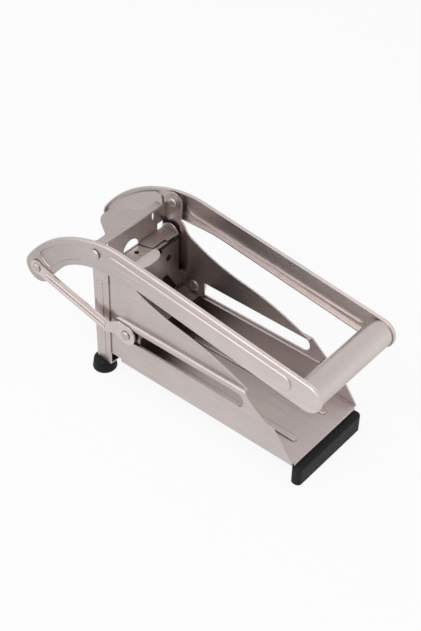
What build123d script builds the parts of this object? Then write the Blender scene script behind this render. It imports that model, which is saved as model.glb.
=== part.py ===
from build123d import *
import os
from math import asin, atan2, cos, degrees, hypot, radians, sin, sqrt, tan

# French fry cutter: a lever press with a knife grid at its front end.
# X runs along the base towards the handle, Y across it, Z up from the bench.
# Sizes are in millimetres. X is first measured from the lever's main pivot, and the
# finished part is moved so that its origin lies under the middle of its outline.

# ---- sheet and fits
channel_sheet = 1.2
frame_sheet = 1.0
lever_sheet = 1.1
link_sheet = 1.5
tray_sheet = 1.2
blade_sheet = 0.5
running_fit = 0.05
side_gap = 0.3
seat_gap = 0.1
slide_gap = 0.5

# ---- chip window and knives
window_width = 66.0
window_bottom = 6.0
window_top = 70.5
window_corner = 3.0
cells = 6
blade_depth = 8.6
blade_overlap = 2.0

# ---- base channel
floor_height = 18.0
chamber_margin = 7.0
floor_front = 16.0
floor_tongue_margin = 3.0
floor_tongue_gap = 0.7
floor_rear = 180.8
wall_front = -5.0
wall_below_pivot = 12.7
wall_front_below_tray = 3.5
front_relief = 4.0
shelf_height = 44.5
shelf_round = 2.6
panel_step = 3.7
ramp_front = 7.4
ramp_rear = 22.0
crest_end = 135.5
crest_points = (
    (20.0, 81.0), (34.0, 74.3), (48.0, 69.2), (62.0, 65.5), (78.0, 62.6), (92.0, 59.8), (108.0, 55.2)
)
crest_low = (124.0, 49.2)
tail_dip = (157.0, 26.4)
tail_bump = (162.0, 27.2)
tail_end_run = 2.0
tail_end_height = 4.4
bend_radius = 1.5
bead_width = 6.0
bead_height = 1.2
bead_spacing = 36.0
bead_front = 40.0
bead_rear = 169.0
lip_margin = 3.5
lip_drop = 9.0
rail_height = 26.0
rail_thickness = 1.8
rail_reach = 2.4
rail_front = 13.0
rail_rear = 147.0
rail_round = 0.7

# ---- wall slots
slot_height = 33.8
slot_width = 12.8
slot_overrun = 0.5

# ---- front frame
frame_front = -8.9
frame_rear = 7.1
frame_foot_rear = 5.8
foot_plate_drop = 7.0
plate_below_pivot = 3.7
notch_radius = 8.5
notch_below_tray = 1.1
corner_hole_width = 6.5
corner_hole_height = 7.2
corner_hole_above_tray = 2.1
small_slot_width = 2.2
small_slot_height = 6.4
small_slot_spacing = 50.0
small_slot_below_top = 5.5
tab_reach = 24.9
tab_root_width = 40.5
tab_tip_radius = 13.8
tab_root_round = 4.0
flange_reach = 5.4
fold_radius = 2.2
flange_margin = 4.0
rib_width = 5.6
rib_height = 0.5
rib_offset = 6.9
rib_top = 73.0
rib_bottom = -1.0

# ---- main pivot
pivot_height = 101.2
ear_radius = 8.6
pivot_radius = 3.0
pivot_head_radius = 4.1
pivot_head_height = 1.5
pivot_washer_radius = 6.0
inner_washer_height = 1.0

# ---- lever
lever_stand_off = 5.3
lever_flange = 3.5
lever_swing = 84.0
hook_reach = 64.3
hook_drop = 45.2
hook_radius = 12.3
handle_reach = 191.1
handle_drop = 22.9
handle_wall = 1.2
cup_radius = 12.0
lever_edge_round = 1.2
lever_low_lean = 8.14
hook_leave = 323.0
nose_lead = 1.7
nose_fall = 2.6
hump_reach = 27.0
hump_rise = 10.37
hump_top_reach = 2.0
hump_top_rise = 9.6
bow_set_back = 24.0
bow_drop = 8.0
throat_set_back = 24.9
throat_rise = 11.3
arch_set_back = 41.9
arch_rise = 24.8
rise_reach = 9.4
rise_drop = 14.2
belly_radius = 100.0
long_panel_rise = 1.2
long_panel_round = 1.0
short_panel_depth = 1.3
short_panel_bowl = 1.1
long_panel_width = 14.4
long_panel_end_width = 13.6
long_panel_start = 17.4
long_panel_stop = 172.0
long_panel_front_level = -1.6
long_panel_rear_level = -19.6
short_panel_margin = 4.6
short_panel_clearance = 10.8
short_panel_turn = 50.0
short_panel_rear = -15.0
short_panel_round = 5.0

# ---- links
link_reach = 23.6
link_width = 11.0
link_top_radius = 6.3
link_plate_radius = 8.7
link_step_start = 9.5
link_step_length = 5.5
link_rib_width = 1.7
link_rib_spacing = 3.8
link_rib_height = 0.9
link_rib_margin = 10.5
link_rivet_radius = 2.5
link_head_radius = 3.9
inner_head_radius = 5.0
link_head_height = 1.4
inner_head_height = 0.9
cap_height = 1.5

# ---- blade tray
tray_rim = 4.5
tray_rear = 5.5
tray_above_window = 6.0
tray_roof_rear = 7.3
tray_foot_margin = 3.0
tray_ear_radius = 8.6
tray_ear_middle = -1.0
tray_ear_drop = 3.0
slit_front = -6.3
slit_front_half = 8.6
slit_bend = 0.1
slit_bend_half = 10.1
slit_corner = 4.1
slit_corner_half = 11.9
slit_end_half = 25.1

# ---- tray's lift tab
tab_sheet = 0.8
lift_tab_width = 27.5
lift_tab_crease = 4.8
lift_tab_tip = 14.2
lift_tab_round = 9.0
lift_tab_slope = 9.0
lift_tab_hole_radius = 2.0
lift_tab_hole = -2.3
lift_tab_arm_half = 27.0
tab_seat_drop = 0.5
tab_drop = 0.5
tab_lap = 1.0
tab_pad_width = 1.6

# ---- pusher
pusher_side_gap = 1.6
ear_side_gap = 0.8
foot_side_gap = 0.6
pusher_sheet = 1.2
block_front = 5.9
block_base = 3.6
block_below_tray = 2.8
block_lip_below_tray = 1.0
block_lip_gap = 0.7
block_lip_margin = 0.5
carrier_below_tray = 1.5
pusher_notch_width = 29.0
pusher_notch_drop = 5.0
pusher_floor_gap = 0.8
stud_clearance = 0.8
stud_reach = 10.4
ear_length = 23.6
ear_bottom = 26.5
ear_corner = 2.5
web_rear = 32.5
web_gap_length = 1.6
web_gap_inner = 24.0
small_hole_radius = 2.9
small_hole_spacing = 43.4
small_hole_level = 63.3
lower_screw_level = 14.0
big_hole_inner = 14.5
big_hole_outer = 30.4
big_hole_top = 47.8
big_hole_top_width = 5.6
big_hole_shoulder = 30.6
big_hole_bottom = 28.3
big_hole_round = 1.2
screw_radius = 1.3
screw_length = 3.0
screw_head_gap = 0.1
bush_gap = 0.1
bush_stand_out = 0.3
glide_length = 2.4
glide_height = 2.6
glide_margin = 2.0
glide_drop = 0.7

# ---- feet
foot_radius = 10.0
foot_top_radius = 8.4
foot_inset = 2.5
foot_place = -4.6
foot_edge_round = 2.0
foot_screw_radius = 1.6
foot_screw_length = 6.0
foot_screw_head_radius = 2.2
foot_screw_head_height = 1.4
strip_margin = 1.5
strip_front = 179.0
strip_rear = 187.6
strip_top_gap = 1.5
strip_corner_round = 3.6
strip_edge_round = 2.4

# ---- places worked out from the sizes above
channel_width = window_width + 2 * chamber_margin
pivot_z = floor_height + pivot_height
slot_z = floor_height + slot_height
shelf_z = floor_height + shelf_height
window_low = floor_height + window_bottom
window_high = floor_height + window_top
wall_outer = channel_width / 2
wall_inner = wall_outer - channel_sheet
wall_top_z = pivot_z - wall_below_pivot
panel_outer = wall_outer - panel_step
panel_inner = panel_outer - channel_sheet
frame_outer = wall_outer + frame_sheet
plate_rear = frame_front + frame_sheet
plate_top_z = pivot_z - plate_below_pivot
foot_plate_z = floor_height - foot_plate_drop
lip_width = channel_width - 2 * lip_margin
strip_width = channel_width - 2 * strip_margin
foot_spacing = channel_width - 2 * foot_inset
lever_outer = wall_outer + lever_stand_off
lever_inner = lever_outer - lever_sheet
flange_edge = lever_outer - lever_flange
link_top_inner = lever_outer + side_gap
link_top_outer = link_top_inner + link_sheet
link_low_inner = wall_outer + bush_stand_out + side_gap / 2
link_low_outer = link_low_inner + link_sheet
handle_radius = cup_radius - lever_sheet - running_fit
nose_reach = hook_reach + nose_lead
nose_drop = hook_drop + nose_fall
tray_half = window_width / 2 + tray_rim
tray_top_z = window_high + tray_above_window
tray_roof_z = tray_top_z - tray_sheet
tab_z = tray_roof_z - tab_sheet - tab_drop
wall_front_z = tray_top_z - wall_front_below_tray
front_x = -nose_reach - hook_radius
rear_x = handle_reach + cup_radius
centre_x = (front_x + rear_x) / 2

# the lever's hook swings the top of each link round the main pivot
hook_x = -hook_reach
hook_z = pivot_z - hook_drop
hook_arm = hypot(hook_reach, hook_drop)
hook_angle = degrees(atan2(-hook_drop, -hook_reach)) % 360.0
link_length = hypot(link_reach - hook_x, hook_z - slot_z)


def link_state(swing):
    """Pusher rivet's X and the link's angle from it when the lever has swung by so many degrees."""
    angle = radians(hook_angle + swing)
    top_x = hook_arm * cos(angle)
    top_z = pivot_z + hook_arm * sin(angle)
    low_x = top_x + sqrt(link_length ** 2 - (top_z - slot_z) ** 2)
    return low_x, degrees(atan2(top_z - slot_z, top_x - low_x)) % 360.0


rest_x, rest_angle = link_state(0.0)
back_x, back_angle = link_state(lever_swing)
pusher_travel = back_x - rest_x
link_swing = back_angle - rest_angle
slot_radius = slot_width / 2
slot_front = rest_x - slot_overrun - slot_radius
slot_rear = back_x + slot_overrun + slot_radius


# ---- helpers
def slab(profile, inner, outer):
    """Side profile in X and Z made solid between two distances from the middle, on the -Y side."""
    return extrude(Plane.XZ.offset(inner) * profile, amount=outer - inner)


def bar(x0, x1, y0, y1, z0, z1):
    """Box between two corners."""
    middle = ((x0 + x1) / 2, (y0 + y1) / 2, (z0 + z1) / 2)
    return Pos(*middle) * Box(x1 - x0, y1 - y0, z1 - z0)


def pin(radius, x, z, inner, outer):
    """Cylinder across the part, on the -Y side."""
    return slab(Pos(x, z) * Circle(radius), inner, outer)


def dome(radius, height, x, z, inner):
    """Low rounded rivet head that stands outwards from a distance from the middle."""
    head = pin(radius, x, z, inner, inner + height)
    rim = head.edges().filter_by(GeomType.CIRCLE).sort_by(Axis.Y)[0]
    return fillet(rim, height * 0.7)


def inner_dome(radius, height, x, z, outer):
    """The same head, standing inwards."""
    head = pin(radius, x, z, outer - height, outer)
    rim = head.edges().filter_by(GeomType.CIRCLE).sort_by(Axis.Y)[-1]
    return fillet(rim, height * 0.7)


def both_sides(solid):
    """The solid and its mirror image on the other side."""
    return solid + mirror(solid, about=Plane.XZ)


def save(name, *shapes):
    """One STEP file for a sub-part, moved to the part's own origin."""
    solids = []
    for shape in shapes:
        solids.extend(shape.solids())
    placed = [Pos(-centre_x, 0, 0) * solid for solid in solids]
    body = placed[0] if len(placed) == 1 else Compound(children=placed)
    body.label = name
    export_step(body, f"parts/{name}.step")


def save_pair(name, left):
    """The -Y piece as NAME_left and its mirror image as NAME_right."""
    save(f"{name}_left", left)
    save(f"{name}_right", mirror(left, about=Plane.XZ))


# ---- base channel
def wall_profile():
    """Side view of a channel wall, from the upright front to the low rear end."""
    z0 = floor_height
    points = [(x, z0 + z) for x, z in (*crest_points, crest_low)]
    crest = Spline((ramp_front, wall_top_z), *points, (crest_end, shelf_z))
    tail = Polyline(
        (crest_end, shelf_z),
        (tail_dip[0], z0 + tail_dip[1]),
        (tail_bump[0], z0 + tail_bump[1]),
        (floor_rear - tail_end_run, z0 + tail_end_height),
        (floor_rear, z0 + channel_sheet),
        (floor_rear, z0),
        (floor_front, z0),
        (floor_front, z0 + front_relief),
        (wall_front, z0 + front_relief),
        (wall_front, wall_front_z),
        (ramp_front, wall_front_z),
        (ramp_front, wall_top_z),
    )
    return make_face(crest + tail)


def slot_profile():
    """Side view of the slot that guides the pusher."""
    length = slot_rear - slot_front
    return Pos((slot_rear + slot_front) / 2, slot_z) * SlotOverall(length, slot_width)


def channel_half(inset):
    """One half of the channel as a filled form, drawn in from its outer faces by an inset."""
    side = wall_outer - inset
    low = floor_height + inset
    shelf = shelf_z - inset
    top = wall_top_z + inset
    lower = bar(wall_front, floor_rear, -side, 0, low, shelf)
    long_edges = lower.edges().filter_by(Axis.X).sort_by(Axis.Y)[:2].sort_by(Axis.Z)
    lower = fillet(long_edges[1], shelf_round - inset)
    low_edges = lower.edges().filter_by(Axis.X).sort_by(Axis.Z)[0:2]
    lower = fillet(low_edges.sort_by(Axis.Y)[0], bend_radius - inset)
    panel = panel_outer - inset
    halfway = ((ramp_front + ramp_rear) / 2, -(side + panel) / 2)
    turn_in = TangentArc((ramp_front, -side), halfway, tangent=(1, 0))
    turn_back = TangentArc(halfway, (ramp_rear, -panel), tangent=turn_in % 1)
    rest = Polyline(
        (ramp_rear, -panel), (floor_rear, -panel), (floor_rear, 0),
        (wall_front, 0), (wall_front, -side), (ramp_front, -side)
    )
    plan = make_face(turn_in + turn_back + rest)
    upper = Pos(0, 0, low + bend_radius) * extrude(plan, amount=top - low - bend_radius)
    return lower + upper


def slide_rail():
    """Ledge pressed inwards from a wall, below its slot, that carries the pusher's web."""
    high = floor_height + rail_height
    rail = bar(rail_front, rail_rear, -wall_inner, rail_reach - wall_inner, high - rail_thickness, high)
    return fillet(rail.edges().filter_by(Axis.X).sort_by(Axis.Y)[-2:], rail_round)


def base_channel():
    half = channel_half(0) - channel_half(channel_sheet)
    half = half & slab(wall_profile(), 0, wall_outer)
    half = half - slab(slot_profile(), panel_inner, wall_outer)
    body = both_sides(half + slide_rail())
    tongue_half = wall_inner - floor_tongue_margin
    tongue_front = frame_foot_rear + floor_tongue_gap
    tongue = bar(
        tongue_front, floor_front + bend_radius, -tongue_half, tongue_half,
        floor_height, floor_height + channel_sheet
    )
    body = body + tongue
    for side in (-1, 1):
        bead = Pos((bead_front + bead_rear) / 2, side * bead_spacing / 2, floor_height + channel_sheet)
        rib = bead * extrude(SlotOverall(bead_rear - bead_front, bead_width), amount=bead_height)
        rib = fillet(rib.faces().sort_by(Axis.Z)[-1].edges(), bead_height * 0.8)
        body = body + rib
    lip_x = floor_rear + channel_sheet
    lip = bar(
        floor_rear - bend_radius, lip_x, -lip_width / 2, lip_width / 2,
        floor_height, floor_height + channel_sheet
    )
    lip = lip + bar(
        floor_rear, lip_x, -lip_width / 2, lip_width / 2,
        floor_height - lip_drop, floor_height + channel_sheet
    )
    corner = lip.edges().filter_by(Axis.Y).sort_by(Axis.X)[-2:].sort_by(Axis.Z)[-1]
    return body + fillet(corner, channel_sheet * 0.9)


# ---- front frame
def post_profile():
    """Side view of a post: straight upright with a round ear about the main pivot."""
    ear = Pos(0, pivot_z) * Circle(ear_radius)
    neck_z = pivot_z - 2 * ear_radius
    upright = make_face(
        Polyline(
            (frame_front, foot_plate_z),
            (frame_foot_rear, foot_plate_z),
            (frame_rear, neck_z),
            (ear_radius, pivot_z),
            (frame_front, pivot_z),
            close=True,
        )
    )
    return upright + ear


def hand_tab():
    """Plan of the top flange with its rounded hand tab."""
    flange_width = 2 * (wall_outer - flange_margin)
    root_x = frame_front - flange_reach
    strip = Pos(frame_front - flange_reach / 2, 0) * Rectangle(flange_reach, flange_width)
    tip = Pos(frame_front - tab_reach + tab_tip_radius, 0) * Circle(tab_tip_radius)
    root = Pos(frame_front - flange_reach / 2, 0) * Rectangle(flange_reach, tab_root_width)
    tongue = make_hull(tip.edges() + root.edges())
    plan = strip + (tongue - Pos(frame_front + tab_reach, 0) * Rectangle(2 * tab_reach, flange_width))
    corners = [v for v in plan.vertices() if abs(v.X - root_x) < seat_gap]
    corners = [v for v in corners if abs(abs(v.Y) - tab_root_width / 2) < seat_gap]
    return fillet(corners, tab_root_round)


def front_plate_holes():
    """Openings in the front plate, seen along X."""
    window = Pos(0, (window_low + window_high) / 2) * RectangleRounded(
        window_width, window_high - window_low, window_corner
    )
    notch_z = tray_top_z - notch_below_tray
    notch = Pos(0, notch_z) * Circle(notch_radius) - Pos(0, notch_z - notch_radius) * Rectangle(
        2 * notch_radius, 2 * notch_radius
    )
    holes = window + notch
    corner_hole_y = tray_half - tray_sheet - corner_hole_width / 2
    for side in (-1, 1):
        corner = Pos(side * corner_hole_y, tray_top_z + corner_hole_above_tray)
        holes = holes + corner * Rectangle(corner_hole_width, corner_hole_height)
        small = Pos(side * small_slot_spacing / 2, plate_top_z - small_slot_below_top) * Rot(0, 0, 90)
        holes = holes + small * SlotOverall(small_slot_height, small_slot_width)
    return holes


def fold_corner(radius, rear, top):
    """What lies between a square corner and a round one along the fold, with its corner at REAR and TOP."""
    half = wall_outer - flange_margin
    square = bar(rear - radius, rear, -half, half, top - radius, top)
    return square - Pos(rear - radius, 0, top - radius) * Rot(90, 0, 0) * Cylinder(radius, 2 * half)


def front_frame():
    plate = bar(frame_front, plate_rear, -frame_outer, frame_outer, foot_plate_z, plate_top_z)
    post = slab(post_profile(), wall_outer, frame_outer)
    foot_plate = bar(
        frame_front, frame_foot_rear, -frame_outer, frame_outer, foot_plate_z, foot_plate_z + frame_sheet
    )
    flange = Pos(0, 0, plate_top_z - frame_sheet) * extrude(hand_tab(), amount=frame_sheet)
    body = plate + both_sides(post) + foot_plate + flange
    uprights = body.edges().filter_by(Axis.Z)
    corners = uprights.filter_by_position(Axis.X, frame_front - 0.01, frame_front + 0.01)
    corners = [edge for edge in corners if abs(abs(edge.center().Y) - frame_outer) < seat_gap]
    body = fillet(corners, frame_sheet * 0.8)
    body = body + fold_corner(fold_radius - frame_sheet, frame_front, plate_top_z - frame_sheet)
    body = body - fold_corner(fold_radius, plate_rear, plate_top_z)
    rib_length = rib_top - rib_bottom
    rib_middle = floor_height + (rib_top + rib_bottom) / 2
    rib_slot = Rot(0, 0, 90) * SlotOverall(rib_length, rib_width)
    rib_outline = Pos(frame_front + rib_offset, rib_middle) * rib_slot
    rib = slab(rib_outline, frame_outer, frame_outer + rib_height)
    rib = fillet(rib.faces().sort_by(Axis.Y)[0].edges(), rib_height * 0.9)
    body = body + both_sides(rib)
    body = body - extrude(Plane.YZ.offset(frame_front) * front_plate_holes(), amount=frame_sheet)
    body = body - both_sides(pin(pivot_radius + running_fit, 0, pivot_z, wall_outer, frame_outer))
    for side in (-1, 1):
        foot_hole = Pos(foot_place, side * foot_spacing / 2, foot_plate_z + frame_sheet / 2)
        body = body - foot_hole * Cylinder(foot_screw_radius + running_fit, frame_sheet)
    return body


# ---- blade tray
def tray_outline():
    """Front view of the tray, with a narrower foot that drops into the front frame."""
    foot_half = window_width / 2 - tray_foot_margin
    low = foot_plate_z + frame_sheet
    return make_face(
        Polyline(
            (-foot_half, low),
            (foot_half, low),
            (foot_half, floor_height),
            (tray_half, floor_height),
            (tray_half, tray_top_z),
            (-tray_half, tray_top_z),
            (-tray_half, floor_height),
            (-foot_half, floor_height),
            close=True,
        )
    )


def chip_window():
    return Pos(0, (window_low + window_high) / 2) * Rectangle(window_width, window_high - window_low)


def tab_cut_out(gap):
    """Plan of the cut-out in the tray's roof round the thumb tab, drawn in by a gap."""
    right = [
        (plate_rear, slit_front_half - gap),
        (slit_front, slit_front_half - gap),
        (slit_bend, slit_bend_half - gap),
        (slit_corner + gap, slit_corner_half - gap),
        (slit_corner + gap, slit_end_half),
        (tray_roof_rear, slit_end_half),
    ]
    left = [(x, -y) for x, y in reversed(right)]
    return make_face(Polyline(*right, *left, close=True))


def tray_ear():
    """Side view of the round ear that stands on each side of the tray's roof."""
    middle_z = tray_top_z - tray_ear_drop
    ear = Pos(tray_ear_middle, middle_z) * Circle(tray_ear_radius)
    length = tray_roof_rear - plate_rear
    window = Pos((tray_roof_rear + plate_rear) / 2, tray_roof_z + tray_ear_radius / 2)
    return ear & (window * Rectangle(length, tray_ear_radius))


def blade_tray():
    outline = tray_outline()
    rim = outline - offset(outline, amount=-tray_sheet, kind=Kind.INTERSECTION)
    face = outline - chip_window()
    body = extrude(Plane.YZ.offset(plate_rear) * rim, amount=tray_rear - plate_rear)
    body = body + bar(tray_rear - tray_sheet, tray_roof_rear, -tray_half, tray_half, tray_roof_z, tray_top_z)
    body = body + extrude(Plane.YZ.offset(tray_rear - tray_sheet) * face, amount=tray_sheet)
    cut = Pos(0, 0, tray_roof_z) * extrude(tab_cut_out(0), amount=tray_sheet)
    seat_z = tab_z - tab_seat_drop
    under = bar(tray_rear - tray_sheet, tray_rear, -lift_tab_arm_half, lift_tab_arm_half, seat_z, tray_roof_z)
    return body - cut - under + both_sides(slab(tray_ear(), tray_half - tray_sheet, tray_half))


def blade_positions(low, high):
    """Middles of the blades that split a window into equal cells."""
    pitch = (high - low) / cells
    return [low + pitch * k for k in range(1, cells)]


blade_rear = tray_rear - tray_sheet
blade_front = blade_rear - blade_depth
upright_places = blade_positions(-window_width / 2, window_width / 2)
level_places = blade_positions(window_low, window_high)


def upright_blades():
    """Upright knives, slotted from the front to half their depth."""
    blades = []
    half = blade_sheet / 2
    notch = half + running_fit
    middle = (blade_front + blade_rear) / 2
    for y in upright_places:
        low = window_low - blade_overlap
        high = window_high + blade_overlap
        blade = bar(blade_front, blade_rear, y - half, y + half, low, high)
        for z in level_places:
            blade = blade - bar(blade_front, middle, y - half, y + half, z - notch, z + notch)
        blades.append(blade)
    return blades


def level_blades():
    """Level knives, slotted from the rear to half their depth."""
    blades = []
    half = blade_sheet / 2
    notch = half + running_fit
    middle = (blade_front + blade_rear) / 2
    for z in level_places:
        reach = window_width / 2 + blade_overlap
        blade = bar(blade_front, blade_rear, -reach, reach, z - half, z + half)
        for y in upright_places:
            blade = blade - bar(middle, blade_rear, y - notch, y + notch, z - half, z + half)
        blades.append(blade)
    return blades


def lift_tab():
    """Thumb tab on the tray: a level plate with a hole and two arms, and a drooping round tongue."""
    level = tab_cut_out(-tab_lap)
    start = plate_rear + seat_gap
    arm = Rectangle(lift_tab_crease - start, 2 * lift_tab_arm_half)
    level = level & Pos((start + lift_tab_crease) / 2, 0) * arm
    arms = Pos((slit_corner - tab_lap + tray_roof_rear) / 2, 0) * Rectangle(
        tray_roof_rear - slit_corner + tab_lap, 2 * lift_tab_arm_half
    )
    arms = arms - Pos((lift_tab_crease + tray_roof_rear) / 2, 0) * Rectangle(
        tray_roof_rear - lift_tab_crease, lift_tab_width - 2 * tab_sheet
    )
    level = level + arms - Pos(lift_tab_hole, 0) * Circle(lift_tab_hole_radius)
    body = Pos(0, 0, tab_z) * extrude(level, amount=tab_sheet)
    pad = bar(
        slit_corner, tray_roof_rear, lift_tab_arm_half - tab_pad_width, lift_tab_arm_half, tab_z, tray_roof_z
    )
    body = body + both_sides(pad)
    fall = (lift_tab_tip - lift_tab_crease) * tan(radians(lift_tab_slope))
    side = make_face(
        Polyline(
            (lift_tab_crease - tab_sheet, tab_z),
            (lift_tab_crease, tab_z),
            (lift_tab_tip, tab_z - fall),
            (lift_tab_tip, tab_z - fall + tab_sheet),
            (lift_tab_crease, tab_z + tab_sheet),
            (lift_tab_crease - tab_sheet, tab_z + tab_sheet),
            close=True,
        )
    )
    half = lift_tab_width / 2
    blank = slab(side, -half, half)
    square = lift_tab_crease - tab_sheet
    plan = Pos((square + lift_tab_tip) / 2, 0) * Rectangle(lift_tab_tip - square, lift_tab_width)
    plan = fillet(plan.vertices().sort_by(Axis.X)[-2:], lift_tab_round)
    tongue = blank & (Pos(0, 0, tab_z - lift_tab_width) * extrude(plan, amount=2 * lift_tab_width))
    return body + tongue


# ---- lever
def lever_outline():
    """Side view of an arm: hooked front end, straight bar and round handle end."""
    low_lean = radians(lever_low_lean)
    out = radians(hook_leave)
    handle_z = pivot_z - handle_drop
    nose_z = pivot_z - nose_drop
    chin = (-nose_reach + hook_radius * cos(out), nose_z + hook_radius * sin(out))
    top_start = (hump_reach, pivot_z + hump_rise)
    bar_run = handle_reach - hump_reach
    bar_fall = top_start[1] - handle_z
    top_lean = atan2(bar_fall, bar_run) - asin(cup_radius / hypot(bar_run, bar_fall))
    top_end = (handle_reach + cup_radius * sin(top_lean), handle_z + cup_radius * cos(top_lean))
    low_end = (handle_reach - cup_radius * sin(low_lean), handle_z - cup_radius * cos(low_lean))
    hump = (hump_top_reach, pivot_z + hump_top_rise)
    bow = (bow_set_back - nose_reach, pivot_z - bow_drop)
    bend_in = (throat_set_back - nose_reach, nose_z + throat_rise)
    arch_top = (arch_set_back - nose_reach, nose_z + arch_rise)
    crown = TangentArc(top_start, hump, tangent=(-cos(top_lean), sin(top_lean)))
    back = TangentArc(hump, bow, tangent=crown % 1)
    way = back % 1
    lead = (bow[0] + nose_reach, bow[1] - nose_z)
    swell = hook_radius - lead[0] * way.Y + lead[1] * way.X
    brow_radius = (hook_radius ** 2 - lead[0] ** 2 - lead[1] ** 2) / (2 * swell)
    centre = (bow[0] - brow_radius * way.Y, bow[1] + brow_radius * way.X)
    span = hypot(-nose_reach - centre[0], nose_z - centre[1])
    tip = (
        centre[0] + brow_radius * (-nose_reach - centre[0]) / span,
        centre[1] + brow_radius * (nose_z - centre[1]) / span,
    )
    brow = TangentArc(bow, tip, tangent=way)
    nose = ThreePointArc(tip, (-nose_reach - hook_radius, nose_z), chin)
    throat = TangentArc(chin, bend_in, tangent=(-sin(out), cos(out)))
    arch = TangentArc(throat @ 1, arch_top, tangent=throat % 1)
    rise = TangentArc(arch @ 1, (rise_reach, pivot_z - rise_drop), tangent=arch % 1)
    flat_start = rise @ 1
    flat_slope = (rise % 1).Y / (rise % 1).X
    drop = low_end[1] - flat_start.Y - flat_slope * (low_end[0] - flat_start.X)
    bend_x = low_end[0] + drop / (tan(low_lean) + flat_slope)
    bend = (bend_x, flat_start.Y + flat_slope * (bend_x - flat_start.X))
    flat = Line(flat_start, bend)
    belly = Line(bend, low_end)
    end = ThreePointArc(low_end, (handle_reach + cup_radius, handle_z), top_end)
    top = Line(top_end, top_start)
    face = make_face(crown + back + brow + nose + throat + arch + rise + flat + belly + end + top)
    corner = [v for v in face.vertices() if hypot(v.X - bend[0], v.Y - bend[1]) < seat_gap]
    return fillet(corner, belly_radius)


def long_panel():
    """Tapered panel with round ends, pressed along the straight bar."""
    front = Pos(long_panel_start, pivot_z + long_panel_front_level) * Circle(long_panel_width / 2)
    rear = Pos(long_panel_stop, pivot_z + long_panel_rear_level) * Circle(long_panel_end_width / 2)
    return make_hull(front.edges() + rear.edges())


def short_panel():
    """Panel pressed into the hook, set in from the arm's edge all round."""
    hook = offset(lever_outline(), amount=-short_panel_margin)
    reach = 2 * hook_reach
    pin_place = Pos(hook_x, hook_z) * Rot(0, 0, short_panel_turn)
    beyond_pin = pin_place * Pos(short_panel_clearance + reach / 2, 0) * Rectangle(reach, reach)
    ahead = Pos(short_panel_rear - reach / 2, hook_z) * Rectangle(reach, 2 * reach)
    patch = hook & beyond_pin & ahead
    turn = radians(short_panel_turn)
    corners = []
    for v in patch.vertices():
        past_pin = (v.X - hook_x) * cos(turn) + (v.Y - hook_z) * sin(turn)
        if abs(past_pin - short_panel_clearance) < seat_gap or abs(v.X - short_panel_rear) < seat_gap:
            corners.append(v)
    return fillet(corners, short_panel_round)


def lever_arm():
    outline = lever_outline()
    blank = slab(outline, flange_edge, lever_outer)
    blank = fillet(blank.faces().sort_by(Axis.Y)[0].edges(), lever_edge_round)
    body = blank - slab(offset(outline, amount=-lever_sheet), flange_edge, lever_inner)
    raised = slab(long_panel(), lever_inner, lever_outer + long_panel_rise)
    raised = fillet(raised.faces().sort_by(Axis.Y)[0].edges(), long_panel_round)
    body = body + raised
    hollow = offset(long_panel(), amount=-lever_sheet)
    body = body - slab(hollow, lever_inner, lever_inner + long_panel_rise)
    pressed = short_panel()
    backing = offset(pressed, amount=lever_sheet / 2)
    body = body + slab(backing, lever_inner - short_panel_depth, lever_inner)
    bowl = slab(pressed, lever_outer - short_panel_depth, lever_outer + short_panel_depth)
    bowl = fillet(bowl.faces().sort_by(Axis.Y)[-1].edges(), short_panel_bowl)
    return body - bowl - pin(pivot_radius + running_fit, 0, pivot_z, flange_edge, lever_outer)


def handle_tube():
    reach = lever_inner
    tube = Pos(handle_reach, 0, pivot_z - handle_drop) * Rot(90, 0, 0) * Cylinder(handle_radius, 2 * reach)
    bore = Rot(90, 0, 0) * Cylinder(handle_radius - handle_wall, 2 * reach)
    bore = Pos(handle_reach, 0, pivot_z - handle_drop) * bore
    return tube - bore


# ---- links, drawn flat along X from the lower rivet and then turned to their angle
def link_blank():
    """Side view of a link: narrow top end and a wide lower plate."""
    strip = Pos(link_length / 2, 0) * Rectangle(link_length, link_width)
    top = Pos(link_length, 0) * Circle(link_top_radius)
    plate = Circle(link_plate_radius)
    shoulder = make_face(
        Polyline(
            (0, link_plate_radius),
            (link_step_start + link_step_length, link_width / 2),
            (link_step_start + link_step_length, -link_width / 2),
            (0, -link_plate_radius),
            close=True,
        )
    )
    return strip + top + plate + shoulder


def link_arm():
    step_end = link_step_start + link_step_length
    run = make_face(
        Polyline(
            (-link_plate_radius, -link_low_inner),
            (link_step_start, -link_low_inner),
            (step_end, -link_top_inner),
            (link_length + link_top_radius, -link_top_inner),
            (link_length + link_top_radius, -link_top_outer),
            (step_end, -link_top_outer),
            (link_step_start, -link_low_outer),
            (-link_plate_radius, -link_low_outer),
            close=True,
        )
    )
    strip = extrude(run, amount=link_plate_radius, both=True)
    body = strip & slab(link_blank(), link_low_inner, link_top_outer)
    rib_start = step_end + link_rib_width
    rib_end = link_length - link_rib_margin
    for side in (-1, 1):
        outline = Pos((rib_start + rib_end) / 2, side * link_rib_spacing / 2)
        outline = outline * SlotOverall(rib_end - rib_start, link_rib_width)
        rib = slab(outline, link_top_outer, link_top_outer + link_rib_height)
        rib = fillet(rib.faces().sort_by(Axis.Y)[0].edges(), link_rib_height * 0.6)
        body = body + rib
    hole = pin(link_rivet_radius + running_fit, 0, 0, link_low_inner, link_low_outer)
    return body - hole


def set_link(shape):
    """Turn a flat-drawn link shape to its rest angle on the pusher's rivet."""
    return Pos(rest_x, 0, slot_z) * Rot(0, -rest_angle, 0) * shape


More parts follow.
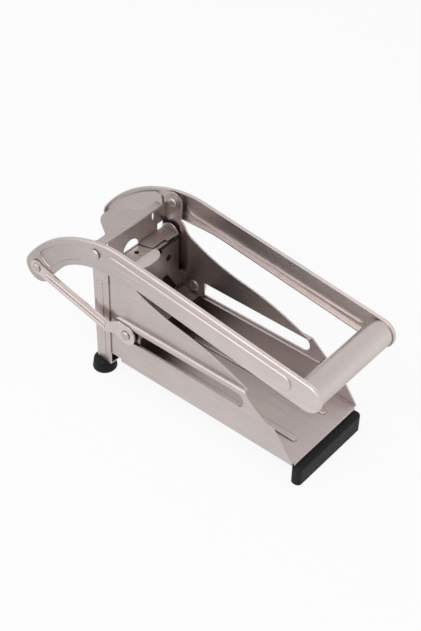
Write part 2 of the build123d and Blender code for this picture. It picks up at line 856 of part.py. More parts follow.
# ---- pusher
carrier_front = block_front + block_base
carrier_rear = carrier_front + pusher_sheet
pusher_half = panel_inner - pusher_side_gap
ear_outer = wall_inner - ear_side_gap
ear_inner = ear_outer - pusher_sheet
foot_half = wall_inner - rail_reach - foot_side_gap
ear_rear = carrier_rear + ear_length
ear_low_z = floor_height + ear_bottom
ear_top_z = shelf_z - channel_sheet - slide_gap
pusher_low = floor_height + channel_sheet + bead_height + pusher_floor_gap
block_top_z = tray_top_z - block_below_tray
carrier_top_z = tray_top_z - carrier_below_tray
notch_z = tray_top_z - pusher_notch_drop


def ear_profile():
    face = make_face(
        Polyline(
            (carrier_front, ear_low_z),
            (ear_rear, ear_low_z),
            (ear_rear, ear_top_z),
            (carrier_front, ear_top_z),
            close=True,
        )
    )
    return fillet(face.vertices().sort_by(Axis.X)[-2:], ear_corner)


def big_hole():
    """Large opening in the carrier's face, with a slanted outer shoulder, on the +Y side."""
    face = make_face(
        Polyline(
            (big_hole_inner, floor_height + big_hole_bottom),
            (big_hole_outer, floor_height + big_hole_bottom),
            (big_hole_outer, floor_height + big_hole_shoulder),
            (big_hole_inner + big_hole_top_width, floor_height + big_hole_top),
            (big_hole_inner, floor_height + big_hole_top),
            close=True,
        )
    )
    return fillet(face.vertices(), big_hole_round)


def pusher_carrier():
    plate = bar(carrier_front, carrier_rear, -pusher_half, pusher_half, pusher_low, carrier_top_z)
    plate = plate + bar(carrier_front, carrier_rear, -foot_half, foot_half, pusher_low, ear_top_z)
    plate = plate + bar(carrier_front, carrier_rear, -ear_outer, ear_outer, ear_low_z, ear_top_z)
    ear = slab(ear_profile(), ear_inner, ear_outer)
    web = bar(carrier_front, web_rear, -ear_outer, ear_outer, ear_low_z, ear_low_z + pusher_sheet)
    body = plate + both_sides(ear) + web
    notch = pusher_notch_width / 2
    body = body - bar(carrier_front, carrier_rear, -notch, notch, notch_z, carrier_top_z)
    large = extrude(Plane.YZ.offset(carrier_front) * big_hole(), amount=pusher_sheet)
    body = body - large - mirror(large, about=Plane.XZ)
    for side in (-1, 1):
        for level in (small_hole_level, lower_screw_level):
            centre = (carrier_front + carrier_rear) / 2
            hole = Pos(centre, side * small_hole_spacing / 2, floor_height + level)
            body = body - hole * Rot(0, 90, 0) * Cylinder(small_hole_radius, pusher_sheet)
        relief = bar(
            carrier_rear, carrier_rear + web_gap_length, web_gap_inner, ear_inner,
            ear_low_z, ear_low_z + pusher_sheet
        )
        body = body - (relief if side > 0 else mirror(relief, about=Plane.XZ))
    return body - both_sides(pin(link_rivet_radius + running_fit, rest_x, slot_z, ear_inner, ear_outer))


def pusher_block():
    body = bar(block_front, carrier_front, -pusher_half, pusher_half, pusher_low, block_top_z)
    notch = pusher_notch_width / 2
    body = body - bar(block_front, carrier_front, -notch, notch, notch_z, block_top_z)
    lip_top = tray_top_z - block_lip_below_tray
    lip_half = pusher_half - block_lip_margin
    lip = bar(tray_roof_rear + block_lip_gap, carrier_front, notch, lip_half, notch_z, lip_top)
    lip = lip + bar(carrier_front, carrier_rear, notch, lip_half, carrier_top_z, lip_top)
    body = body + both_sides(lip)
    pitch_y = window_width / cells
    pitch_z = (window_high - window_low) / cells
    half_y = (pitch_y - blade_sheet) / 2 - stud_clearance
    half_z = (pitch_z - blade_sheet) / 2 - stud_clearance
    for row in range(cells):
        for column in range(cells):
            y = (column + 0.5) * pitch_y - window_width / 2
            z = window_low + (row + 0.5) * pitch_z
            body = body + bar(
                block_front - stud_reach, block_front, y - half_y, y + half_y, z - half_z, z + half_z
            )
    for side in (-1, 1):
        for level in (small_hole_level, lower_screw_level):
            place = Pos(carrier_front - screw_length / 2, side * small_hole_spacing / 2, floor_height + level)
            body = body - place * Rot(0, 90, 0) * Cylinder(screw_radius, screw_length)
    return body


def block_screws():
    screws = []
    for side in (-1, 1):
        for level in (small_hole_level, lower_screw_level):
            y = side * small_hole_spacing / 2
            z = floor_height + level
            shank = Rot(0, 90, 0) * Cylinder(screw_radius, screw_length)
            shank = Pos(carrier_front - screw_length / 2, y, z) * shank
            head_place = Pos(carrier_front + pusher_sheet / 2, y, z) * Rot(0, 90, 0)
            head = head_place * Cylinder(small_hole_radius - screw_head_gap, pusher_sheet)
            screws.append(shank + head)
    return screws


def glide_bar():
    """Black plastic edging pushed on the rear edge of the carrier's web."""
    low = ear_low_z - glide_drop
    front = web_rear - glide_length / 2
    half = ear_inner - glide_margin
    body = bar(front, front + glide_length, -half, half, low, low + glide_height)
    return body - bar(front, web_rear, -half, half, ear_low_z, ear_low_z + pusher_sheet)


def slot_bush():
    radius = slot_radius - bush_gap
    ring = pin(radius, rest_x, slot_z, ear_outer, wall_outer + bush_stand_out)
    return ring - pin(link_rivet_radius, rest_x, slot_z, ear_outer, wall_outer + bush_stand_out)


def link_bottom_rivet():
    head_start = link_low_outer + side_gap / 2
    body = pin(link_rivet_radius, rest_x, slot_z, ear_inner, head_start)
    body = body + dome(link_head_radius, link_head_height, rest_x, slot_z, head_start)
    return body + inner_dome(inner_head_radius, inner_head_height, rest_x, slot_z, ear_inner)


# ---- pivots
def pivot_rivet():
    """Main pivot: shank through the ear and the arm, with a head at each end."""
    head_start = lever_outer + side_gap
    inner = wall_outer - inner_washer_height
    body = pin(pivot_radius, 0, pivot_z, inner, head_start)
    body = body + dome(pivot_head_radius, pivot_head_height, 0, pivot_z, head_start)
    return body + inner_dome(pivot_head_radius, pivot_head_height, 0, pivot_z, inner)


def pivot_washers():
    """The washer inside an ear and the spacer between the ear and the arm."""
    bore = pivot_radius + running_fit
    inner = pin(pivot_washer_radius, 0, pivot_z, wall_outer - inner_washer_height, wall_outer)
    inner = inner - pin(bore, 0, pivot_z, wall_outer - inner_washer_height, wall_outer)
    spacer_end = lever_inner - side_gap
    spacer = pin(pivot_washer_radius, 0, pivot_z, frame_outer, spacer_end)
    spacer = spacer - pin(bore, 0, pivot_z, frame_outer, spacer_end)
    return [inner, spacer]


def link_pin():
    """Inner half of the pivot between an arm and its link, on the arm."""
    return inner_dome(link_head_radius, cap_height, hook_x, hook_z, lever_inner)


def link_cap():
    """Outer half of that pivot, on the link."""
    return set_link(dome(link_head_radius, cap_height, link_length, 0, link_top_outer))


# ---- feet
def front_foot():
    """Tapered rubber foot under a post."""
    height = foot_plate_z
    foot = Pos(foot_place, -foot_spacing / 2, height / 2) * Cone(foot_radius, foot_top_radius, height)
    foot = fillet(foot.edges().filter_by(GeomType.CIRCLE), foot_edge_round)
    screw_bottom = foot_plate_z - foot_screw_length
    place = Pos(foot_place, -foot_spacing / 2, (screw_bottom + foot_plate_z) / 2)
    return foot - place * Cylinder(foot_screw_radius, foot_screw_length)


def foot_screw():
    low = foot_plate_z - foot_screw_length
    high = foot_plate_z + frame_sheet
    shank = Pos(foot_place, -foot_spacing / 2, (low + high) / 2) * Cylinder(foot_screw_radius, high - low)
    head = Pos(foot_place, -foot_spacing / 2, high + foot_screw_head_height / 2)
    return shank + head * Cylinder(foot_screw_head_radius, foot_screw_head_height)


def rear_strip():
    top = floor_height - strip_top_gap
    body = bar(strip_front, strip_rear, -strip_width / 2, strip_width / 2, 0, top)
    body = fillet(body.edges().filter_by(Axis.Z), strip_corner_round)
    body = fillet(body.faces().sort_by(Axis.Z)[-1].edges(), strip_edge_round)
    lip = bar(
        floor_rear, floor_rear + channel_sheet, -lip_width / 2, lip_width / 2,
        floor_height - lip_drop, floor_height
    )
    return body - lip


# ---- write every sub-part
os.makedirs("parts", exist_ok=True)
save("base_channel", base_channel())
save("front_frame", front_frame())
save("blade_tray", blade_tray())
save("lift_tab", lift_tab())
save("upright_blades", *upright_blades())
save("level_blades", *level_blades())
save_pair("front_foot", front_foot())
save("foot_screws", both_sides(foot_screw()))
save("rear_foot_strip", rear_strip())
save_pair("pivot_rivet", pivot_rivet())
left_washers = pivot_washers()
save("pivot_washers", *left_washers, *[mirror(washer, about=Plane.XZ) for washer in left_washers])
save_pair("lever_arm", lever_arm())
save("handle_tube", handle_tube())
save_pair("link_pin", link_pin())
save_pair("link", set_link(link_arm()))
save_pair("link_cap", link_cap())
save("pusher_carrier", pusher_carrier())
save("pusher_block", pusher_block())
save("block_screws", *block_screws())
save("glide_bar", glide_bar())
save_pair("slot_bush", slot_bush())
save_pair("link_bottom_rivet", link_bottom_rivet())

# numbers that the joints need, in the part's own frame
print(f"main pivot at X {-centre_x:.3f} Z {pivot_z:.3f}, swing {lever_swing:.1f} degrees")
print(f"pusher travel {pusher_travel:.3f}, link swing {link_swing:.3f} degrees")
print(f"link lower pivot at X {rest_x - centre_x:.3f} Z {slot_z:.3f}, link length {link_length:.3f}")
print(f"slide ratio {pusher_travel / 1000 / radians(lever_swing):.6f} m/rad")
print(f"link ratio {link_swing / lever_swing:.6f}")
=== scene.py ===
import math

import bmesh
import bpy
from mathutils import Matrix, Vector


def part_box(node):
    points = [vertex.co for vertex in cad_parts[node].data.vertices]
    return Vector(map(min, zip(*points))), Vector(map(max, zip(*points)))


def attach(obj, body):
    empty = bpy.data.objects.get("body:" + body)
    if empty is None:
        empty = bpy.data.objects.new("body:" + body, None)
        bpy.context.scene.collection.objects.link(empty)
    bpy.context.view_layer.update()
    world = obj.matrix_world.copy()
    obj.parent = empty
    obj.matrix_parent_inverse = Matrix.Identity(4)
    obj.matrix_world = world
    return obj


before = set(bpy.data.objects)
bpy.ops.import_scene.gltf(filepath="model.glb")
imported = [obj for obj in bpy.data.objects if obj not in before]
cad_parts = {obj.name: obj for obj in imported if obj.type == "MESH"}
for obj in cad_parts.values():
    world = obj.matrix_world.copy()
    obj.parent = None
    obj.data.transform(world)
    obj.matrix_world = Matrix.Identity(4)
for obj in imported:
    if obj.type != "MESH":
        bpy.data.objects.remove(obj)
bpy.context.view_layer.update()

scene = bpy.context.scene
scene.view_settings.view_transform = "Standard"

MM = 0.001

# ------------------------------------------------------------------ camera
PHOTO_HEIGHT = 631           # pixels
FOCAL_LENGTH = 1250.0        # pixels
SENSOR_WIDTH = 36.0          # mm, for the photograph's longer side
AZIMUTH = 0.688749825        # radians, from -Y towards +X
ELEVATION = 0.714687735      # radians above the floor
ROLL = 0.017881465           # radians
EYE = Vector((0.45417, -0.54082, 0.67920))
CLIP_NEAR = 0.01
CLIP_FAR = 50.0


def make_camera():
    """Camera with the photograph's place, direction, roll and focal length."""
    reach = math.cos(ELEVATION)
    back = Vector((math.sin(AZIMUTH) * reach, -math.cos(AZIMUTH) * reach, math.sin(ELEVATION)))
    level = Vector((math.cos(AZIMUTH), math.sin(AZIMUTH), 0.0))
    upright = back.cross(level)
    right = level * math.cos(ROLL) + upright * math.sin(ROLL)
    up = upright * math.cos(ROLL) - level * math.sin(ROLL)
    data = bpy.data.cameras.new("camera")
    data.sensor_width = SENSOR_WIDTH
    data.sensor_fit = "AUTO"
    data.lens = FOCAL_LENGTH / PHOTO_HEIGHT * SENSOR_WIDTH
    data.clip_start = CLIP_NEAR
    data.clip_end = CLIP_FAR
    camera = bpy.data.objects.new("camera", data)
    scene.collection.objects.link(camera)
    turn = Matrix((right, up, back)).transposed()
    camera.matrix_world = Matrix.Translation(EYE) @ turn.to_4x4()
    scene.camera = camera


make_camera()


# ------------------------------------------------------------------ node helpers
MIX_FACTOR, MIX_A, MIX_B, MIX_RESULT = 0, 6, 7, 2    # sockets of a colour Mix node
NOISE_LOW, NOISE_HIGH = 0.3, 0.7                     # most of a noise texture lies between these
WHITE = (1, 1, 1, 1)
BUMP_HEIGHT = 0.0002
AO_SAMPLES = 8
BEVEL_SAMPLES = 6
EDGE_START, EDGE_FULL = 0.995, 0.86                  # cosine between the flat and the rounded normal
INNER_FULL, INNER_START = -0.5, -0.1                 # how far a face turns towards the middle plane
WALL_INSIDE, WALL_OUTSIDE = 0.0335, 0.0350           # distance from the middle plane to a side wall


def rgb(r, g, b):
    """A colour written as sRGB 0-255, made linear."""

    def linear(value):
        value = value / 255.0
        return value / 12.92 if value <= 0.04045 else ((value + 0.055) / 1.055) ** 2.4

    return (linear(r), linear(g), linear(b), 1.0)


def scaled(colour, share):
    """The colour times share, no part of it above 1."""
    return tuple(min(1.0, part * share) for part in colour[:3]) + (1.0,)


class Tree:
    """Emptied node tree of a material or world. Helpers take sockets or values and return sockets."""

    def __init__(self, owner):
        owner.use_nodes = True
        self.owner = owner
        self.tree = owner.node_tree
        self.tree.nodes.clear()

    def add(self, kind, **props):
        node = self.tree.nodes.new(kind)
        for key, value in props.items():
            setattr(node, key, value)
        return node

    def feed(self, source, target):
        """Link a socket to an input, or set the input to a plain value."""
        if isinstance(source, bpy.types.NodeSocket):
            self.tree.links.new(source, target)
        else:
            target.default_value = source

    def end(self, kind, surface):
        self.feed(surface, self.add(kind).inputs["Surface"])

    def principled(self):
        bsdf = self.add("ShaderNodeBsdfPrincipled")
        self.end("ShaderNodeOutputMaterial", bsdf.outputs["BSDF"])
        return bsdf.inputs

    def place(self):
        """Object coordinates, in metres."""
        return self.add("ShaderNodeTexCoord").outputs["Object"]

    def normal(self):
        return self.add("ShaderNodeNewGeometry").outputs["Normal"]

    def split(self, vector):
        """X, Y and Z of a vector."""
        node = self.add("ShaderNodeSeparateXYZ")
        self.feed(vector, node.inputs["Vector"])
        return node.outputs

    def noise(self, scale, stretch=(1, 1, 1), detail=4.0, rough=0.55, turn=(0, 0, 0)):
        """Noise in object space; scale is per metre."""
        mapping = self.add("ShaderNodeMapping")
        mapping.inputs["Scale"].default_value = stretch
        mapping.inputs["Rotation"].default_value = turn
        self.feed(self.place(), mapping.inputs["Vector"])
        texture = self.add("ShaderNodeTexNoise")
        texture.inputs["Scale"].default_value = scale
        texture.inputs["Detail"].default_value = detail
        texture.inputs["Roughness"].default_value = rough
        self.feed(mapping.outputs["Vector"], texture.inputs["Vector"])
        return texture.outputs["Fac"]

    def remap(self, source, low, high, to_low, to_high):
        """The source taken from the range low-high to the range to_low-to_high."""
        node = self.add("ShaderNodeMapRange")
        node.inputs["From Min"].default_value = low
        node.inputs["From Max"].default_value = high
        node.inputs["To Min"].default_value = to_low
        node.inputs["To Max"].default_value = to_high
        self.feed(source, node.inputs["Value"])
        return node.outputs["Result"]

    def spread(self, noise, to_low, to_high):
        """Noise taken to the range to_low-to_high."""
        return self.remap(noise, NOISE_LOW, NOISE_HIGH, to_low, to_high)

    def mix(self, factor, a, b, blend="MIX"):
        node = self.add("ShaderNodeMix", data_type="RGBA", blend_type=blend)
        self.feed(factor, node.inputs[MIX_FACTOR])
        self.feed(a, node.inputs[MIX_A])
        self.feed(b, node.inputs[MIX_B])
        return node.outputs[MIX_RESULT]

    def tint(self, colour, factor):
        """The colour times a value or another colour."""
        return self.mix(1.0, colour, factor, "MULTIPLY")

    def math(self, operation, a, b=None):
        node = self.add("ShaderNodeMath", operation=operation)
        self.feed(a, node.inputs[0])
        if b is not None:
            self.feed(b, node.inputs[1])
        return node.outputs[0]

    def open_share(self, distance):
        """1 on open faces, less where something stands within the distance."""
        node = self.add("ShaderNodeAmbientOcclusion", samples=AO_SAMPLES, only_local=False)
        node.inputs["Distance"].default_value = distance
        return node.outputs["AO"]

    def inside_mask(self):
        """1 on faces that look towards the middle plane or lie between the side walls, 0 on outer faces."""
        across = self.split(self.place())["Y"]
        outward = self.math("MULTIPLY", self.split(self.normal())["Y"], self.math("SIGN", across))
        inner = self.remap(outward, INNER_FULL, INNER_START, 1.0, 0.0)
        between = self.remap(self.math("ABSOLUTE", across), WALL_INSIDE, WALL_OUTSIDE, 1.0, 0.0)
        return self.math("MAXIMUM", inner, between)

    def rounded(self, radius):
        """The normal with edges rounded by the radius."""
        node = self.add("ShaderNodeBevel", samples=BEVEL_SAMPLES)
        node.inputs["Radius"].default_value = radius
        return node.outputs["Normal"]

    def edge_mask(self, rounded):
        """1 on the edges that the rounded normal rounds, 0 on flat faces."""
        node = self.add("ShaderNodeVectorMath", operation="DOT_PRODUCT")
        self.feed(rounded, node.inputs[0])
        self.feed(self.normal(), node.inputs[1])
        return self.remap(node.outputs["Value"], EDGE_START, EDGE_FULL, 0.0, 1.0)

    def bump(self, height, strength, normal=None):
        node = self.add("ShaderNodeBump")
        node.inputs["Strength"].default_value = strength
        node.inputs["Distance"].default_value = BUMP_HEIGHT
        self.feed(height, node.inputs["Height"])
        if normal:
            self.feed(normal, node.inputs["Normal"])
        return node.outputs["Normal"]

    def background_rays(self):
        """1 for rays that show the background: straight from the camera, mirrored or through glass."""
        rays = self.add("ShaderNodeLightPath").outputs
        seen = self.math("MAXIMUM", rays["Is Camera Ray"], rays["Is Glossy Ray"])
        return self.math("MAXIMUM", seen, rays["Is Transmission Ray"])

    def mix_shaders(self, factor, a, b):
        node = self.add("ShaderNodeMixShader")
        self.feed(factor, node.inputs["Fac"])
        self.feed(a, node.inputs[1])
        self.feed(b, node.inputs[2])
        return node.outputs[0]


# ------------------------------------------------------------------ materials
STEEL_TINT = (1.0, 0.955, 0.93)
GRAIN_SCALE, CLOUD_SCALE, SPOT_SCALE = 60.0, 22.0, 420.0    # per metre
CLOUD_CONTRAST = 0.05
ROUGH_GRAIN, ROUGH_SPOTS = 0.04, 0.03
# Painted shade by facing: faces that look up, and below that faces that look down, keep a smaller share of
# the colour.
TOP_SHADE_START, TOP_SHADE_FULL = 0.2, 0.95                             # how far a face looks up
UNDER_SHADE_FULL, UNDER_SHADE_START = -0.2, 0.55                        # the same, for faces that look down
EDGE_RADIUS = 0.0003
# Painted highlight: rounded edges are lightened towards the base colour raised by this lift, mixed in at most
# by this share.
EDGE_HIGHLIGHT_LIFT = 0.2
EDGE_HIGHLIGHT_SHARE = 0.6
# Painted shade in narrow creases, found by the open share within this reach:
CREASE_REACH = 0.004
CREASE_FULL, CREASE_START = 0.25, 0.85                      # open share at which a crease is full and begins
# Painted shade in wide hollows on inner faces, towards a brown shade colour:
HOLLOW_REACH = 0.06
HOLLOW_FULL, HOLLOW_START = 0.15, 0.75
HOLLOW_SHADE_TINT = (0.30, 0.255, 0.235, 1)
MOULDED_SPECULAR = 0.22
DUST_SCALE = 45.0                                           # per metre
DUST_LOW, DUST_HIGH = 0.35, 0.7
DUST_GAIN, DUST_LIFT = 4, 0.002
PEBBLE_GLOSS = 0.08

ALONG_X = (0.35, 22, 22)     # stretch of the brushed grain
ALONG_Y = (22, 0.35, 22)
ALONG_Z = (22, 22, 0.35)
ALONG_TUBE = (1.4, 6, 1.4)
EVEN = (4, 4, 4)
EVEN_FINE = (6, 6, 6)
LEVER_LEAN = math.radians(6.0)
LINK_LEAN = -0.65            # radians


def steel(name, colour, rough, stretch, turn=(0, 0, 0), grain=0.05, crease_shade=0.5, bump=0.05, bevelled=True,
          top_shade=1.0, under_shade=1.0, hollow_shade=0.0, shade_along=None):
    """Satin stainless: a stretched grain, soft clouding, painted highlights on rounded edges and painted
    shade in inner corners.

    grain is the contrast of the grain, and dirt the strength of the painted shade in the corners. top and
    under are the shares of colour that faces looking up and down keep, a painted shade by facing, and deep is
    how much the painted shade darkens hollows. along is a slow painted change of light on one axis: (axis,
    from, to, share at from, share at to), in metres.
    """
    t = Tree(bpy.data.materials.new(name))
    inputs = t.principled()
    inputs["Metallic"].default_value = 1.0
    fine = t.noise(GRAIN_SCALE, stretch, detail=5.0, rough=0.6, turn=turn)
    cloud = t.noise(CLOUD_SCALE, detail=3.0, rough=0.5)
    spots = t.noise(SPOT_SCALE, detail=2.0, rough=0.5)
    base = tuple(part * tint for part, tint in zip(colour, STEEL_TINT))
    col = t.mix(t.spread(fine, 0.0, 1.0), scaled(base, 1 - grain * 2), scaled(base, 1 + grain * 2))
    col = t.tint(col, t.spread(cloud, 1.0 - CLOUD_CONTRAST, 1.0 + CLOUD_CONTRAST))
    # Painted shade: faces that look up or down keep a smaller share of the colour.
    if top_shade != 1.0:
        col = t.tint(col, t.remap(t.split(t.normal())["Z"], TOP_SHADE_START, TOP_SHADE_FULL, 1.0, top_shade))
    if under_shade != 1.0:
        col = t.tint(col, t.remap(t.split(t.normal())["Z"], UNDER_SHADE_FULL, UNDER_SHADE_START, under_shade, 1.0))
    # Painted shade: a slow change of light along one axis.
    if shade_along:
        axis, start, stop, share_start, share_stop = shade_along
        col = t.tint(col, t.remap(t.split(t.place())[axis], start, stop, share_start, share_stop))
    rounded = t.rounded(EDGE_RADIUS) if bevelled else None
    # Painted highlight: rounded edges lightened in the colour.
    if bevelled:
        col = t.mix(t.math("MULTIPLY", t.edge_mask(rounded), EDGE_HIGHLIGHT_SHARE), col, scaled(base, 1 + EDGE_HIGHLIGHT_LIFT))
    # Painted shade in creases between nearby faces.
    col = t.tint(col, t.remap(t.open_share(CREASE_REACH), CREASE_FULL, CREASE_START, 1.0 - crease_shade, 1.0))
    # Painted shade in hollows on inner faces, towards a brown shade colour.
    if hollow_shade:
        hollow = t.remap(t.open_share(HOLLOW_REACH), HOLLOW_FULL, HOLLOW_START, hollow_shade, 0.0)
        amount = t.math("MULTIPLY", hollow, t.inside_mask())
        col = t.tint(col, t.mix(amount, WHITE, HOLLOW_SHADE_TINT))
    t.feed(col, inputs["Base Color"])
    rough_grain = t.spread(fine, rough - ROUGH_GRAIN, rough + ROUGH_GRAIN)
    rough_spots = t.spread(spots, -ROUGH_SPOTS, ROUGH_SPOTS)
    t.feed(t.math("ADD", rough_grain, rough_spots), inputs["Roughness"])
    t.feed(t.bump(fine, bump, rounded), inputs["Normal"])
    return t.owner


def moulded(name, colour, rough, scale, bump, radius, dust):
    """Moulded plastic or rubber: fine pebbled bump, uneven gloss and a faint dusty bloom."""
    t = Tree(bpy.data.materials.new(name))
    inputs = t.principled()
    inputs["Metallic"].default_value = 0.0
    inputs["Specular IOR Level"].default_value = MOULDED_SPECULAR
    pebble = t.noise(scale, detail=3.0, rough=0.6)
    cloud = t.noise(DUST_SCALE, detail=3.0, rough=0.5)
    pale = tuple(part * (1 + DUST_GAIN * dust) + DUST_LIFT for part in colour[:3]) + (1.0,)
    t.feed(t.mix(t.remap(cloud, DUST_LOW, DUST_HIGH, 0.0, 1.0), colour, pale), inputs["Base Color"])
    t.feed(t.spread(pebble, rough - PEBBLE_GLOSS, rough + PEBBLE_GLOSS), inputs["Roughness"])
    t.feed(t.bump(pebble, bump, t.rounded(radius)), inputs["Normal"])
    return t.owner


MATERIALS = {
    "channel": steel("m_channel", (0.56, 0.52, 0.52), 0.38, ALONG_X, top_shade=0.90, hollow_shade=0.70),
    "frame": steel("m_frame", (0.57, 0.53, 0.53), 0.36, ALONG_Z, top_shade=0.72, hollow_shade=0.12),
    "tray": steel("m_tray", (0.50, 0.46, 0.45), 0.36, ALONG_Y, top_shade=0.92, hollow_shade=0.5),
    "tab": steel("m_tab", (0.55, 0.51, 0.50), 0.30, ALONG_X, bevelled=False),
    # The lever's colour carries a painted change of light: darker towards -X, lighter towards +X.
    "lever": steel(
        "m_lever", (0.60, 0.56, 0.555), 0.38, ALONG_X, turn=(0, LEVER_LEAN, 0), crease_shade=0.22,
        shade_along=("X", -0.12, 0.11, 0.80, 1.12),
    ),
    # The handle's shares for faces looking up and down paint shade on its upper and lower sides, leaving a
    # painted highlight along its middle.
    "handle": steel(
        "m_handle", (0.77, 0.725, 0.715), 0.34, ALONG_TUBE, grain=0.012, bump=0.01, bevelled=False,
        top_shade=0.68, under_shade=0.66,
    ),
    "link": steel(
        "m_link", (0.68, 0.63, 0.625), 0.36, ALONG_X, turn=(0, LINK_LEAN, 0), grain=0.03, bump=0.02,
        bevelled=False,
    ),
    "carrier": steel("m_carrier", (0.48, 0.44, 0.43), 0.36, ALONG_Z, top_shade=0.9, hollow_shade=0.52),
    "rivet": steel("m_rivet", (0.54, 0.50, 0.49), 0.30, EVEN, grain=0.03, crease_shade=0.65, bevelled=False),
    "screw": steel("m_screw", (0.05, 0.045, 0.04), 0.42, EVEN, grain=0.03, bevelled=False),
    "blade": steel("m_blade", (0.58, 0.56, 0.55), 0.24, EVEN_FINE, grain=0.03, bevelled=False),
    "plastic": moulded("m_plastic", rgb(14, 13, 13), 0.5, 900.0, 0.2, radius=0.0006, dust=0.15),
    "rubber": moulded("m_rubber", rgb(15, 15, 15), 0.6, 700.0, 0.35, radius=0.0008, dust=0.08),
}
LOOKS = {
    "channel": ("base_channel",),
    "frame": ("front_frame",),
    "tray": ("blade_tray",),
    "tab": ("lift_tab",),
    "lever": ("lever_arm_left", "lever_arm_right"),
    "handle": ("handle_tube",),
    "link": ("link_left", "link_right"),
    "carrier": ("pusher_carrier",),
    "rivet": (
        "pivot_rivet_left", "pivot_rivet_right", "pivot_washers", "link_pin_left", "link_pin_right",
        "link_cap_left", "link_cap_right", "link_bottom_rivet_left", "link_bottom_rivet_right",
    ),
    "screw": ("foot_screws", "block_screws"),
    "blade": ("upright_blades", "level_blades"),
    "plastic": ("pusher_block", "glide_bar", "slot_bush_left", "slot_bush_right"),
    "rubber": ("front_foot_left", "front_foot_right", "rear_foot_strip"),
}
for look, names in LOOKS.items():
    for name in names:
        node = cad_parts[name]
        if not node.material_slots:
            node.data.materials.append(MATERIALS[look])
        for entry in node.material_slots:
            entry.material = MATERIALS[look]


# ------------------------------------------------------------------ rivet faces, and a black plug as painted shade in the tab's hole
LATHE_STEPS = 48
RIVET_FACE = (               # share of the radius, height in mm
    (0, -0.9), (1, -0.9), (1, 0.0), (0.94, 0.14), (0.80, 0.22),
    (0.66, 0.16), (0.58, -0.05), (0.50, -0.10), (0.30, 0.02), (0, 0.06),
)
PIVOT_FACE = 2.9             # radii in mm
LINK_TOP_FACE = 2.7
LINK_BOTTOM_FACE = 2.8
INNER_BOTTOM_FACE = 4.0
# A black plug in the tab's hole stands in for the shade inside it: painted shade.
HOLE_SHADE_PROFILE = (                   # radius and height in mm
    (0, -2.0), (1.9, -2.0), (1.9, 0.1), (1.75, 0.22), (1.55, 0.15), (1.35, -0.5), (0.6, -1.0), (0, -1.05),
)
HOLE_SHADE_X = -0.0647
HOLE_SHADE_SINK = 0.0005


def lathe(name, profile):
    """Turned form about Z from (radius, height) points in metres, closed at both ends on the axis."""
    bm = bmesh.new()
    rings = []
    for radius, height in profile:
        if radius == 0:
            rings.append([bm.verts.new((0, 0, height))])
            continue
        ring = []
        for k in range(LATHE_STEPS):
            turn = 2 * math.pi * k / LATHE_STEPS
            ring.append(bm.verts.new((radius * math.cos(turn), radius * math.sin(turn), height)))
        rings.append(ring)
    for low, high in zip(rings, rings[1:]):
        for k in range(LATHE_STEPS):
            n = (k + 1) % LATHE_STEPS
            if len(low) == 1:
                bm.faces.new((low[0], high[k], high[n]))
            elif len(high) == 1:
                bm.faces.new((low[k], high[0], low[n]))
            else:
                bm.faces.new((low[k], high[k], high[n], low[n]))
    bmesh.ops.recalc_face_normals(bm, faces=bm.faces)
    mesh = bpy.data.meshes.new(name)
    bm.to_mesh(mesh)
    bm.free()
    for face in mesh.polygons:
        face.use_smooth = True
    piece = bpy.data.objects.new(name, mesh)
    scene.collection.objects.link(piece)
    return piece


def rivet_face(name, node, body, outward, radius):
    """Upset ring with a sunk middle, on the end of a rivet that looks along +Y (outward 1) or -Y (-1)."""
    low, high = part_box(node)
    x = (low[0] + high[0]) / 2
    z = (low[2] + high[2]) / 2
    y = high[1] if outward > 0 else low[1]
    piece = lathe(name, [(share * radius * MM, height * MM) for share, height in RIVET_FACE])
    turn = Matrix.Rotation(math.radians(-90 * outward), 4, "X")
    piece.data.transform(Matrix.Translation((x, y, z)) @ turn)
    piece.data.materials.append(MATERIALS["rivet"])
    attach(piece, body)


for side, out in (("left", -1), ("right", 1)):
    rivet_face(f"pivot_face_{side}", f"pivot_rivet_{side}", "base", out, PIVOT_FACE)
    rivet_face(f"pivot_inner_face_{side}", f"pivot_rivet_{side}", "base", -out, PIVOT_FACE)
    rivet_face(f"cap_face_{side}", f"link_cap_{side}", f"{side}_link", out, LINK_TOP_FACE)
    rivet_face(f"pin_face_{side}", f"link_pin_{side}", "lever", -out, LINK_TOP_FACE)
    rivet_face(f"bottom_face_{side}", f"link_bottom_rivet_{side}", "pusher", out, LINK_BOTTOM_FACE)
    rivet_face(f"bottom_inner_face_{side}", f"link_bottom_rivet_{side}", "pusher", -out, INNER_BOTTOM_FACE)

tab_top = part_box("lift_tab")[1][2]
hole_shade = lathe("tab_hole_shade", [(radius * MM, height * MM) for radius, height in HOLE_SHADE_PROFILE])
hole_shade.data.transform(Matrix.Translation((HOLE_SHADE_X, 0.0, tab_top - HOLE_SHADE_SINK)))
hole_shade.data.materials.append(MATERIALS["plastic"])
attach(hole_shade, "base")


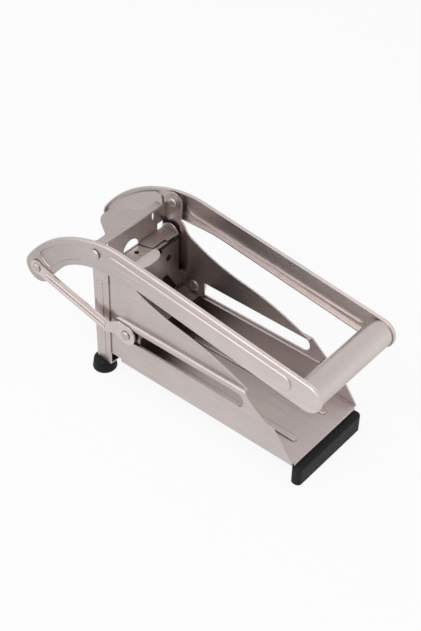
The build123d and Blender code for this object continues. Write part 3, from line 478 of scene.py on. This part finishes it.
# ------------------------------------------------------------------ stage and light
FLOOR_SIZE = 12.0
FLOOR_DROP = 0.0002
FLOOR_COLOUR = (0.86, 0.86, 0.86, 1)
FLOOR_WHITE_SHARE = 0.9      # the rest of the floor takes the object's shadow
WORLD_LIGHT = 0.55
WORLD_WHITE = 1.0
LIT_POINT = (0, 0, 0.05)


def floor_material():
    """Pale matt floor that shows as nearly white."""
    t = Tree(bpy.data.materials.new("m_floor"))
    matt = t.add("ShaderNodeBsdfDiffuse")
    matt.inputs["Color"].default_value = FLOOR_COLOUR
    white = t.add("ShaderNodeEmission")
    white.inputs["Color"].default_value = WHITE
    white.inputs["Strength"].default_value = 1.0
    share = t.math("MULTIPLY", t.background_rays(), FLOOR_WHITE_SHARE)
    t.end("ShaderNodeOutputMaterial", t.mix_shaders(share, matt.outputs[0], white.outputs[0]))
    return t.owner


def plane(name, size, height):
    mesh = bpy.data.meshes.new(name)
    h = size / 2
    mesh.from_pydata([(-h, -h, height), (h, -h, height), (h, h, height), (-h, h, height)], [], [(0, 1, 2, 3)])
    piece = bpy.data.objects.new(name, mesh)
    scene.collection.objects.link(piece)
    return piece


def light_world():
    """Soft even light from all round, seen as white."""
    scene.world = bpy.data.worlds.new("world")
    t = Tree(scene.world)
    skies = []
    for strength in (WORLD_LIGHT, WORLD_WHITE):
        sky = t.add("ShaderNodeBackground")
        sky.inputs["Color"].default_value = WHITE
        sky.inputs["Strength"].default_value = strength
        skies.append(sky.outputs[0])
    t.end("ShaderNodeOutputWorld", t.mix_shaders(t.background_rays(), skies[0], skies[1]))


def area(name, place, size, power):
    """Square lamp that looks at the lit point."""
    data = bpy.data.lights.new(name, "AREA")
    data.shape = "SQUARE"
    data.size = size
    data.energy = power
    lamp = bpy.data.objects.new(name, data)
    scene.collection.objects.link(lamp)
    lamp.location = place
    way = Vector(LIT_POINT) - Vector(place)
    lamp.rotation_euler = way.to_track_quat("-Z", "Y").to_euler()


floor = plane("floor", FLOOR_SIZE, -FLOOR_DROP)
floor.data.materials.append(floor_material())
light_world()
area("key", (0.25, -1.0, 1.15), 1.3, 9.0)
area("fill", (-0.9, -0.5, 1.2), 1.4, 5.0)
